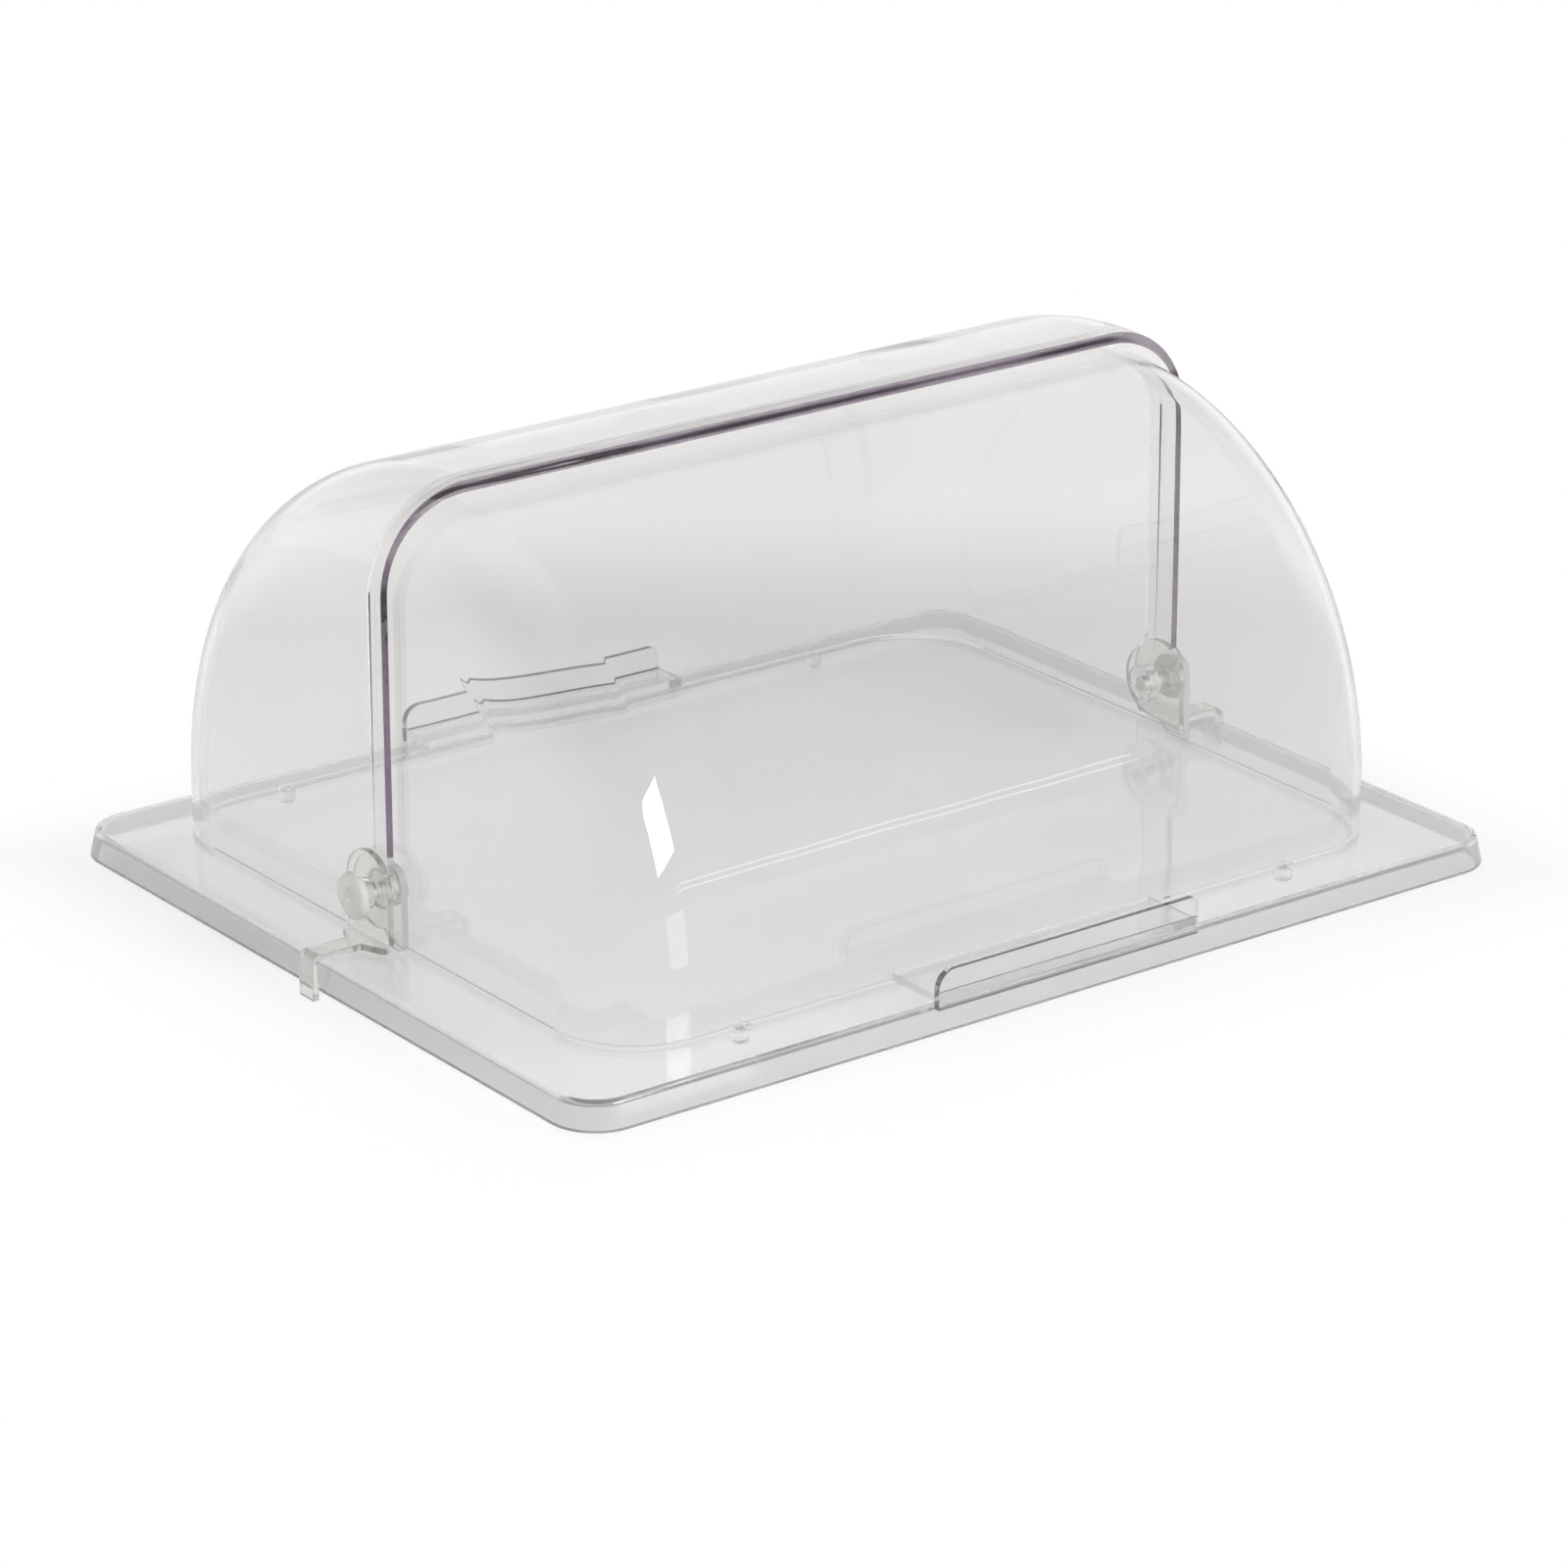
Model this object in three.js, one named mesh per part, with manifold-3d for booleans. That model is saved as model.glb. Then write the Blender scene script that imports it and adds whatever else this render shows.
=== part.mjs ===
// Roll-top pastry cover in clear sheet, millimetres, +Z up, front = -Y, origin under the middle.
// A rear lid and a smaller front lid turn on two headed pins. Z-bent brackets carry the pins
// and hook over the ends of a flat tray with a down-turned skirt.
import * as THREE from 'three';
import { mergeVertices } from 'three/addons/utils/BufferGeometryUtils.js';
import Module from 'manifold-3d';

const wasm = await Module();
wasm.setup();

// Tray
const trayLength = 530; // left to right, at the top face
const trayDepth = 420; // front to back, at the top face
const trayCornerRadius = 21;
const trayWall = 3.5;
const skirtHeight = 14;
const skirtFlare = 3; // how far the skirt's foot stands out
const trayEdgeRound = 2.2;

// Lids
const lidWall = 3.5;
const hingeRise = 25; // pin axis over the tray's top face
const lidSetback = 19.5; // between the rear lid's outside and the tray's edge, front and back
const lidInset = 31; // between the rear lid's ends and the tray's ends
const rearLidFillet = 47; // outside corner between end and curve
const lidPlay = 7; // between the rear lid's inside and the front lid's outside
const lidEndPlay = 1.5; // the same at the ends
const lidFilletStep = 5; // the front lid's corner is that much smaller
const rearLidOverlap = 12; // rear lid's open edge in front of the axis
const frontLidOverlap = 4; // front lid's open edge behind the axis
const lidStand = 1.5; // lids' lower edges over the tray's top face

// Ears round the pins
const rearEarReach = 23; // in front of the axis
const rearEarTop = 17; // over the axis
const rearEarTopRound = 8;
const rearEarFootRound = 4;
const frontEarRadius = 18;
const frontEarFoot = 14; // where the foot's slope meets the lower edge, in front of the axis
const frontEarLeave = 6; // where the slope leaves the round

// Handles
const handleLength = 151;
const handleRise = 16.5; // plate's top over the tray's top face
const handleWall = 3.5;
const handleStandout = 4.3; // outer face of the plate beyond the tray's edge
const handleDrop = 2; // plate's foot under the tray's top face, in front of its edge
const handleRound = 9; // left top corner
const handleRightRound = 4;

// Brackets
const bracketWall = 3.2;
const tongueRadius = 17.5; // also half the tongue's width
const tongueRise = 3; // middle of the tongue's round over the pin axis
const armWidth = 12;
const armNarrowing = 6; // length over which the tongue narrows to the arm
const hookDrop = 4.5; // hook's end under the skirt's foot
const bracketBend = 5; // outside of each bend

// Pins, nuts and the spacers between tongues and heads
const shankRadius = 4;
const headRadius = 11.5;
const headRim = 2.6;
const headDome = 2.4;
const dimpleRadius = 1.6;
const dimpleDepth = 0.8;
const nutRadius = 9.5;
const nutLength = 6.7;
const nutCap = 1.4;
const nutRound = 1.2;
const spacerRadius = 7.5;
const spacerWall = 5;

// Bumpers under the lids' edges
const bumperHeadRadius = 5;
const bumperHeadHeight = 1.2;
const bumperNeckRadius = 3;
const bumperFootRadius = 4.4;
const bumperFootLength = 6;
const bumperFootRound = 1.2;
const bumperPlaceShare = 0.3; // of the tray's length, from the middle

// Clearances
const seat = 0.3; // between pieces that rest on each other
const shaftClearance = 0.25; // round a pin in its holes
const holeClearance = 0.2; // round a bumper's neck
const cutMargin = 10; // how far cutting bodies run past what they cut

// Resolution
const roundSteps = 40;
const arcSteps = 44;
const filletSteps = 10;
const bendSteps = 5;

// Worked-out places
const skirtFoot = hookDrop;
const trayTop = skirtFoot + skirtHeight;
const hingeHeight = trayTop + hingeRise;
const lidFoot = trayTop + lidStand;
const rearLidRadius = trayDepth / 2 - lidSetback;
const rearLidHalf = trayLength / 2 - lidInset;
const frontLidRadius = rearLidRadius - lidWall - lidPlay;
const frontLidHalf = rearLidHalf - lidWall - lidEndPlay;
const frontLidFillet = rearLidFillet - lidFilletStep;
const handleFace = trayDepth / 2 + handleStandout;
const bumperPlace = trayLength * bumperPlaceShare;
const tongueInner = rearLidHalf + seat;
const tongueOuter = tongueInner + bracketWall;
const headUnder = tongueOuter + seat + spacerWall + seat;
const hookInner = trayLength / 2 + skirtFlare + seat;
const hookOuter = hookInner + bracketWall;
const nutOuter = frontLidHalf - lidWall - seat;
const nutInner = nutOuter - nutLength;
const boreRadius = shankRadius + shaftClearance;

// Solids
function solid(geometry) {
  const g = geometry.clone();
  g.deleteAttribute('normal');
  g.deleteAttribute('uv');
  const m = mergeVertices(g);
  return new wasm.Manifold(new wasm.Mesh({
    numProp: 3,
    vertProperties: Float32Array.from(m.attributes.position.array),
    triVerts: Uint32Array.from(m.index.array),
  }));
}

function geometryOf(manifold) {
  const mesh = manifold.getMesh();
  const g = new THREE.BufferGeometry();
  g.setAttribute('position', new THREE.BufferAttribute(Float32Array.from(mesh.vertProperties), 3));
  g.setIndex(new THREE.BufferAttribute(Uint32Array.from(mesh.triVerts), 1));
  const flat = g.toNonIndexed();
  flat.computeVertexNormals();
  return flat;
}

function box(x0, x1, y0, y1, z0, z1) {
  const g = new THREE.BoxGeometry(x1 - x0, y1 - y0, z1 - z0);
  g.translate((x0 + x1) / 2, (y0 + y1) / 2, (z0 + z1) / 2);
  return solid(g);
}

// A closed body lofted through loops that have the same number of points.
function loft(loops) {
  const n = loops[0].length;
  const position = loops.flat().flatMap((p) => [p.x, p.y, p.z]);
  const index = [];
  for (let k = 0; k + 1 < loops.length; k++) {
    for (let i = 0; i < n; i++) {
      const j = (i + 1) % n;
      const a = k * n + i, b = k * n + j, c = (k + 1) * n + j, d = (k + 1) * n + i;
      index.push(a, b, c, a, c, d);
    }
  }
  const last = (loops.length - 1) * n;
  for (let i = 1; i + 1 < n; i++) {
    index.push(0, i + 1, i);
    index.push(last, last + i, last + i + 1);
  }
  const g = new THREE.BufferGeometry();
  g.setAttribute('position', new THREE.Float32BufferAttribute(position, 3));
  g.setIndex(index);
  return solid(g);
}

// Prisms from an outline of [u, v] points: along X (u = y, v = z), Y (u = x, v = z), Z (u = x, v = y).
function prism(outline, from, to) {
  const shape = new THREE.Shape(outline.map(([u, v]) => new THREE.Vector2(u, v)));
  const g = new THREE.ExtrudeGeometry(shape, { depth: to - from, bevelEnabled: false });
  g.translate(0, 0, from);
  return g;
}

function prismX(outline, from, to) {
  const g = prism(outline, from, to);
  g.applyMatrix4(new THREE.Matrix4().set(0, 0, 1, 0, 1, 0, 0, 0, 0, 1, 0, 0, 0, 0, 0, 1));
  return solid(g);
}

function prismY(outline, from, to) {
  const g = prism(outline, -to, -from);
  g.rotateX(Math.PI / 2);
  return solid(g);
}

function prismZ(outline, from, to) {
  return solid(prism(outline, from, to));
}

function arc(cx, cy, radius, startDegrees, endDegrees, steps) {
  const points = [];
  for (let i = 0; i <= steps; i++) {
    const t = THREE.MathUtils.degToRad(startDegrees + ((endDegrees - startDegrees) * i) / steps);
    points.push([cx + radius * Math.cos(t), cy + radius * Math.sin(t)]);
  }
  return points;
}

// A turned body about the X axis, moved to the pin axis. profile: [x, radius], closed on the axis.
function turned(profile) {
  const g = new THREE.LatheGeometry(profile.map(([x, r]) => new THREE.Vector2(r, x)), roundSteps);
  g.rotateZ(-Math.PI / 2);
  g.translate(0, 0, hingeHeight);
  return solid(g);
}

// A turned body about the Z axis at a place on the tray. profile: [radius, z], closed on the axis.
function turnedUp(profile, x, y) {
  const g = new THREE.LatheGeometry(profile.map(([r, z]) => new THREE.Vector2(r, z)), roundSteps);
  g.rotateX(Math.PI / 2);
  g.translate(x, y, 0);
  return solid(g);
}

function pinHole(radius, x0, x1) {
  return turned([[x0, 0], [x0, radius], [x1, radius], [x1, 0]]);
}

function mirrored(manifold) {
  return manifold.mirror([1, 0, 0]);
}

// Tray: a rounded plate with a flared skirt
function trayLoop(offset, z) {
  const x = trayLength / 2 + offset;
  const y = trayDepth / 2 + offset;
  const r = trayCornerRadius + offset;
  const corners = [
    arc(x - r, y - r, r, 0, 90, filletSteps), arc(r - x, y - r, r, 90, 180, filletSteps),
    arc(r - x, r - y, r, 180, 270, filletSteps), arc(x - r, r - y, r, 270, 360, filletSteps),
  ];
  return corners.flat().map(([u, v]) => new THREE.Vector3(u, v, z));
}

function skirtOffset(z) {
  return (skirtFlare * (trayTop - z)) / skirtHeight;
}

function tray() {
  const shoulder = trayTop - trayEdgeRound;
  const outer = [trayLoop(skirtFlare, skirtFoot), trayLoop(skirtOffset(shoulder), shoulder)];
  for (const [u, v] of arc(-trayEdgeRound, 0, trayEdgeRound, 0, 90, bendSteps).slice(1)) {
    outer.push(trayLoop(u + skirtOffset(shoulder + v), shoulder + v));
  }
  const under = skirtFoot - cutMargin;
  const ceiling = trayTop - trayWall;
  const inner = [under, ceiling].map((z) => trayLoop(skirtOffset(z) - trayWall, z));
  let body = loft(outer).subtract(loft(inner));
  for (const [x, y] of bumperPlaces()) {
    const r = bumperNeckRadius + holeClearance;
    const over = trayTop + cutMargin;
    body = body.subtract(turnedUp([[0, under], [r, under], [r, over], [0, over]], x, y));
  }
  return body;
}

// Lids: an arch on straight legs, rounded towards both ends
function archLoop(x, radius, foot) {
  const legs = arc(0, hingeHeight, radius, 0, 180, arcSteps);
  return [[radius, foot], ...legs, [-radius, foot]].map(([y, z]) => new THREE.Vector3(x, y, z));
}

function arch(half, radius, fillet, foot) {
  const left = arc(fillet - half, radius - fillet, fillet, 180, 90, filletSteps);
  const right = arc(half - fillet, radius - fillet, fillet, 90, 0, filletSteps);
  return loft([...left, ...right].map(([x, r]) => archLoop(x, r, foot)));
}

function lidShell(half, radius, fillet) {
  const inside = arch(half - lidWall, radius - lidWall, fillet - lidWall, lidFoot - cutMargin);
  return arch(half, radius, fillet, lidFoot).subtract(inside);
}

function rearLid() {
  const high = hingeHeight + rearLidRadius + cutMargin;
  const back = rearLidRadius + cutMargin;
  const earTop = hingeHeight + rearEarTop;
  const footMiddle = rearEarFootRound - rearEarReach;
  const keep = [
    [-rearLidOverlap, high], [-rearLidOverlap, earTop],
    ...arc(rearEarTopRound - rearEarReach, earTop - rearEarTopRound, rearEarTopRound, 90, 180, bendSteps),
    ...arc(footMiddle, lidFoot + rearEarFootRound, rearEarFootRound, 180, 270, bendSteps),
    [footMiddle, lidFoot - cutMargin], [back, lidFoot - cutMargin], [back, high],
  ];
  const reach = rearLidHalf + cutMargin;
  return lidShell(rearLidHalf, rearLidRadius, rearLidFillet)
    .intersect(prismX(keep, -reach, reach))
    .subtract(pinHole(boreRadius, -reach, reach));
}

function frontLid() {
  const high = hingeHeight + frontLidRadius + cutMargin;
  const front = -frontLidRadius - cutMargin;
  const top = THREE.MathUtils.radToDeg(Math.acos(frontLidOverlap / frontEarRadius));
  const leave = -90 - THREE.MathUtils.radToDeg(Math.asin(frontEarLeave / frontEarRadius));
  const keep = [
    [frontLidOverlap, high], ...arc(0, hingeHeight, frontEarRadius, top, leave, filletSteps),
    [-frontEarFoot, lidFoot], [-frontEarFoot, lidFoot - cutMargin],
    [front, lidFoot - cutMargin], [front, high],
  ];
  const reach = frontLidHalf + cutMargin;
  return lidShell(frontLidHalf, frontLidRadius, frontLidFillet)
    .intersect(prismX(keep, -reach, reach))
    .subtract(pinHole(boreRadius, -reach, reach));
}

// Handles: a web off the lid's lower edge with an upright plate along it, down past the tray's edge
function handle(lidRadius, side) {
  const half = handleLength / 2;
  const top = trayTop + handleRise;
  const near = lidRadius + seat;
  const web = box(-half, half, near, handleFace - handleWall / 2, lidFoot, lidFoot + handleWall);
  const plate = box(-half, half, handleFace - handleWall, handleFace, trayTop - handleDrop, top);
  const face = [
    [-half, lidFoot - cutMargin], [half, lidFoot - cutMargin],
    ...arc(half - handleRightRound, top - handleRightRound, handleRightRound, 0, 90, filletSteps),
    ...arc(handleRound - half, top - handleRound, handleRound, 90, 180, filletSteps),
  ];
  const body = web.add(plate).intersect(prismY(face, near - cutMargin, handleFace + cutMargin));
  return side < 0 ? body.mirror([0, 1, 0]) : body;
}

// Brackets: a strip bent up beside the lids and down over the tray's end
function bracketSide() {
  const bed = trayTop + seat;
  const over = bed + bracketWall;
  const inside = bracketBend - bracketWall;
  const top = hingeHeight + tongueRise + tongueRadius + cutMargin;
  return [
    [tongueInner, top],
    ...arc(tongueInner + bracketBend, bed + bracketBend, bracketBend, 180, 270, bendSteps),
    ...arc(hookInner - inside, bed - inside, inside, 90, 0, bendSteps), [hookInner, 0], [hookOuter, 0],
    ...arc(hookOuter - bracketBend, over - bracketBend, bracketBend, 0, 90, bendSteps),
    ...arc(tongueOuter + inside, over + inside, inside, 270, 180, bendSteps), [tongueOuter, top],
  ];
}

function bracket() {
  const wide = tongueRadius;
  const narrow = armWidth / 2;
  const bendEnd = tongueInner + bracketBend;
  const plan = [
    [tongueInner - cutMargin, -wide], [bendEnd, -wide], [bendEnd + armNarrowing, -narrow],
    [hookOuter + cutMargin, -narrow], [hookOuter + cutMargin, narrow],
    [bendEnd + armNarrowing, narrow], [bendEnd, wide], [tongueInner - cutMargin, wide],
  ];
  const front = [
    [-wide, -cutMargin], [wide, -cutMargin],
    ...arc(0, hingeHeight + tongueRise, wide, 0, 180, roundSteps / 2),
  ];
  return prismY(bracketSide(), -wide, wide)
    .intersect(prismZ(plan, -cutMargin, hingeHeight + tongueRise + wide + cutMargin))
    .intersect(prismX(front, tongueInner - cutMargin, hookOuter + cutMargin))
    .subtract(pinHole(boreRadius, tongueInner - cutMargin, tongueOuter + cutMargin));
}

// Pins with a crowned, dimpled head, closed nuts inside the lids, spacers outside the tongues
function pin() {
  const under = headUnder;
  const rim = under + headRim;
  const crown = rim + headDome;
  const end = nutInner + nutCap + seat;
  return turned([
    [end, 0], [end, shankRadius], [under, shankRadius], [under, headRadius], [rim, headRadius],
    [rim + headDome / 2, headRadius - headDome], [crown, dimpleRadius * 2], [crown, dimpleRadius],
    [crown - dimpleDepth, 0],
  ]);
}

function nut() {
  const bottom = nutInner + nutCap;
  return turned([
    [nutInner, 0], [nutInner, nutRadius - nutRound], [nutInner + nutRound, nutRadius],
    [nutOuter, nutRadius], [nutOuter, boreRadius], [bottom, boreRadius], [bottom, 0],
  ]);
}

function spacer() {
  const inner = tongueOuter + seat;
  const outer = inner + spacerWall;
  return pinHole(spacerRadius, inner, outer)
    .subtract(pinHole(boreRadius, inner - cutMargin, outer + cutMargin));
}

// Bumpers: a flat head on the tray under each lid's edge, a neck through it and a foot below
function bumperPlaces() {
  const front = -(frontLidRadius - lidWall / 2);
  const rear = rearLidRadius - lidWall / 2;
  return [[-bumperPlace, front], [bumperPlace, front], [-bumperPlace, rear], [bumperPlace, rear]];
}

function bumper(x, y) {
  const headFoot = trayTop + seat / 2;
  const footTop = trayTop - trayWall - seat / 2;
  const end = footTop - bumperFootLength;
  return turnedUp([
    [0, end], [bumperFootRadius - bumperFootRound, end], [bumperFootRadius, end + bumperFootRound],
    [bumperFootRadius, footTop], [bumperNeckRadius, footTop], [bumperNeckRadius, headFoot],
    [bumperHeadRadius, headFoot], [bumperHeadRadius, headFoot + bumperHeadHeight - seat / 2],
    [0, headFoot + bumperHeadHeight - seat / 2],
  ], x, y);
}

// Assembly
const part = new THREE.Group();
part.name = 'pastry_cover';

function place(name, body, color, roughness, opacity) {
  const material = new THREE.MeshStandardMaterial({
    color, roughness, metalness: 0, opacity, transparent: opacity < 1,
  });
  material.name = name;
  const mesh = new THREE.Mesh(geometryOf(body), material);
  mesh.name = name;
  part.add(mesh);
}

const clear = 0xe4e6ea;
const frosted = 0xeceee9;

place('tray', tray(), clear, 0.05, 0.35);
place('rear_lid', rearLid(), clear, 0.05, 0.3);
place('front_lid', frontLid(), clear, 0.05, 0.3);
place('rear_handle', handle(rearLidRadius, 1), clear, 0.05, 0.35);
place('front_handle', handle(frontLidRadius, -1), clear, 0.05, 0.35);
for (const [side, flip] of [['left', mirrored], ['right', (m) => m]]) {
  place(`${side}_bracket`, flip(bracket()), clear, 0.05, 0.4);
  place(`${side}_pin`, flip(pin()), frosted, 0.4, 0.9);
  place(`${side}_nut`, flip(nut()), clear, 0.15, 0.6);
  place(`${side}_spacer`, flip(spacer()), clear, 0.15, 0.6);
}
const bumperNames = ['front_left_bumper', 'front_right_bumper', 'rear_left_bumper', 'rear_right_bumper'];
bumperPlaces().forEach(([x, y], i) => place(bumperNames[i], bumper(x, y), clear, 0.2, 0.6));

export default part;
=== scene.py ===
"""Roll-top pastry cover: fine meshes, materials, stage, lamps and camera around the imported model."""

from collections import namedtuple
from math import acos, asin, ceil, cos, degrees, pi, radians, sin, sqrt

import bmesh
import bpy
from mathutils import Matrix, Vector


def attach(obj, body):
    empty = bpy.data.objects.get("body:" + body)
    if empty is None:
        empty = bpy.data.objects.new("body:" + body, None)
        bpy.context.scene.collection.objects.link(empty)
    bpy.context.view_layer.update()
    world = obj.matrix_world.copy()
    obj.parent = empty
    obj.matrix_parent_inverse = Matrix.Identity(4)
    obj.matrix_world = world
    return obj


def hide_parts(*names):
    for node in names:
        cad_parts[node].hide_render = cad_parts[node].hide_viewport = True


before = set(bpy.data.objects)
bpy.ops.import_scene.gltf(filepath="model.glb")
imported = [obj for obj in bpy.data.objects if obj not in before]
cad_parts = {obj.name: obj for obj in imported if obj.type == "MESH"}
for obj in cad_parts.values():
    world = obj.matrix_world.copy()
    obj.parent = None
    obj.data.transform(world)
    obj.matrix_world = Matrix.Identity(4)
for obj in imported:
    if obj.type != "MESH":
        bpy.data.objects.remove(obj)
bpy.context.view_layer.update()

MM = 0.001

# Sizes in millimetres, the same as the solids
TRAY_X, TRAY_Y = 265.0, 210.0
TRAY_CORNER, TRAY_WALL, TRAY_ROUND = 21.0, 3.5, 2.2
SKIRT_FOOT, TRAY_TOP, SKIRT_FLARE = 4.5, 18.5, 3.0
HINGE, FOOT, WALL, BORE = 43.5, 20.0, 3.5, 4.25
HANDLE_HALF, HANDLE_FACE, HANDLE_FOOT, HANDLE_TOP = 75.5, 214.3, 16.5, 35.0
HANDLE_WALL, HANDLE_GAP, LEFT_ROUND, RIGHT_ROUND = 3.5, 0.06, 9.0, 4.0
BRACKET_WALL, BRACKET_IN, HOOK_IN, BEND, ARM_GAP = 3.2, 234.3, 268.3, 5.0, 0.3
TONGUE_HALF, ARM_HALF, NARROWING, TONGUE_RISE = 17.5, 6.0, 6.5, 3.0
# turned pieces: places along x and radii, then the bumpers' place, hole, clearance and radii
PIN_TIP, PIN_RADIUS, HEAD_UNDER, HEAD_RADIUS = 220.2, 4.0, 243.1, 11.5
NUT_INNER, NUT_OUTER, NUT_RADIUS = 218.5, 225.2, 9.5
SPACER_INNER, SPACER_OUTER, SPACER_RADIUS = 237.8, 242.8, 7.5
BUMPER_X, BUMPER_HOLE, BUMPER_GAP, BUMPER_HEAD, BUMPER_NECK, BUMPER_BARB = 159.0, 3.2, 0.15, 5.0, 3.0, 4.4
# a lid's outer face: half its length, its radius, the round of its ends' corners and the y of its open edge.
# side is 1 for the rear lid and -1 for the front one, and every y of a lid is taken in that direction
Shell = namedtuple("Shell", "side half radius fillet cut")
REAR = Shell(side=1, half=234.0, radius=190.5, fillet=47.0, cut=-12.0)
FRONT = Shell(side=-1, half=229.0, radius=180.0, fillet=42.0, cut=-4.0)

# Sizes in millimetres that only the fine meshes have: the rounds of cut edges, and the narrow band of faces
# beside an edge that keeps its round off the flat face
LID_ROUND, TRAY_EDGE, HANDLE_ROUND, BRACKET_ROUND, BAND = 0.9, 0.4, 0.5, 0.5, 1.2
# the share of the lid's round that its inner cut edge gets, and how far over the pin its cut is painted a
# grey shade
INNER_SHARE, EAR_TOP = 0.25, 20.0
# how far the rear lid's open edge is thickened, how many plain rows the thickened ones stand in for, and the
# share of the thickening at each distance back along the arch
REAR_BEAD, BEAD_ROWS = 2.2, 5
BEAD = ((0.0, 1.0), (2.0, 0.97), (4.0, 0.85), (6.0, 0.6), (8.0, 0.35), (10.0, 0.12), (12.0, 0.0))
# steps round a lid's arch, round the corners of its ends, along its middle and down its foot, and the longest
# step along the edge of its ear
ARCH_STEPS, END_STEPS, MIDDLE_STEPS, FOOT_STEPS, EAR_STEP = 112, 18, 12, 6, 4.0
# steps round a bracket's bends, across its width and up the sides of its tongue, and the places of two more
# rows, along its arm and down its hook
BEND_STEPS, ACROSS, LEG_STEPS, ARM_ROW, HOOK_ROW = 8, 8, 5, 256.0, 8.0
# an edge of a turned piece that turns by more than this angle is sharp
SHARP_TURN = 35

# Marks that cut faces carry for their material, their tones of painted shade and light (dark shade, grey
# shade, pale light), and how far under its mark a tone starts
DARK_CUT, GREY_CUT, PALE_CUT = 0.25, 0.5, 1.0
PAINTED_CUT_TONES = ((0.10, 0.085, 0.11, 1), (0.42, 0.41, 0.42, 1), (0.86, 0.86, 0.86, 1))
MARK_STEP = 0.12
# how much light a face marked with painted shade still lets through, and how much of a lamp's light any clear
# wall does
SHADED_SKIRT_CLEAR, LAMP_CLEAR = 0.8, (0.93, 0.93, 0.93, 1)
WHITE = (1, 1, 1, 1)

# Floor in metres: its size, how far it lies under the object, its colours at the left and the right, and how
# far from the middle they are reached
FLOOR_RADIUS, FLOOR_DROP = 14, 0.0004
# the two colours paint a falloff of light, paler at the left
FLOOR_LEFT, FLOOR_RIGHT, FLOOR_REACH = (0.90, 0.90, 0.895, 1), (0.79, 0.79, 0.785, 1), 0.3
# how far outside the tray's outline the floor's white starts and is whole, and its share at the start
SEEN_FADE = (0.0, 0.08, 0.6)
# the same for what shows through the sheet, from the middle of a square that is turned by an angle and whose
# near side is nearer, and the share of it that a reflection gets
CLEAR_FADE, CLEAR_TURN, CLEAR_NEARER, MIRRORED_SHARE = (0.33, 0.58, 0.03), radians(-36.94), 0.14, 0.4

# World, as (sine of the elevation, brightness): where it lights or is mirrored, and where it shows through
# the sheet
ROOM_LEVELS = ((0.1, 0.90), (0.5, 0.72), (0.8, 0.42))
CLEAR_LEVELS = ((0.05, 1.0), (0.35, 0.78), (0.75, 0.25))

# Lamps in metres, degrees and watts. Most are placed by the direction, as azimuth and elevation, in which
# they are seen from the front left corner of the lid
LID_CORNER = Vector((-0.19, -0.165, 0.1))
# the window's corners, its distance and its brightness
WINDOW = ((4, 9.5), (31.8, 12.5), (33.5, 20), (37.5, 31), (8, 30.5), (3.5, 27))
WINDOW_DISTANCE, WINDOW_STRENGTH = 2.5, 17.0
# the azimuths and distances between which the window shines on the counter, the height and brightness of that
SHINE_LEFT, SHINE_RIGHT, SHINE_NEAR, SHINE_FAR, SHINE_HEIGHT, SHINE_STRENGTH = 6, 30, 0.2, 2.2, 0.0006, 2.6
# two thin lamps under the window
SILL_ELEVATIONS = {"sill": 3.9, "low_sill": 2.3}
SILL_AZIMUTH, SILL_DISTANCE, SILL_SIZE, SILL_POWER = 33, 2.5, (0.8, 0.022), 0.14
# the soft lamp over the object: its place, what it is aimed at, its size and power
TOP_PLACE, TOP_AIM, TOP_SIZE, TOP_POWER = (-0.9, -0.6, 1.7), (0, 0, 0.1), (0.9, 0.9), 8.5

# Camera at the photograph's angle, in degrees, and in millimetres from the middle of the tray's top face
CAMERA_AZIMUTH, CAMERA_ELEVATION = -36.94, 21.1
CAMERA_AWAY, CAMERA_RIGHT, CAMERA_UP = 2879.84, -0.48, 21.14
FOCAL_PIXELS, PHOTO_PIXELS, SENSOR_WIDTH, FARTHEST = 6153.35, 1600.0, 36.0, 50.0

# Light paths long enough for many clear walls behind each other
BOUNCES, OPEN_BOUNCES = 160, 48


# Mesh making

def new_object(name, bm, material):
    mesh = bpy.data.meshes.new(name)
    bm.to_mesh(mesh)
    bm.free()
    mesh.materials.append(material)
    obj = bpy.data.objects.new(name, mesh)
    bpy.context.scene.collection.objects.link(obj)
    return obj


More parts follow.
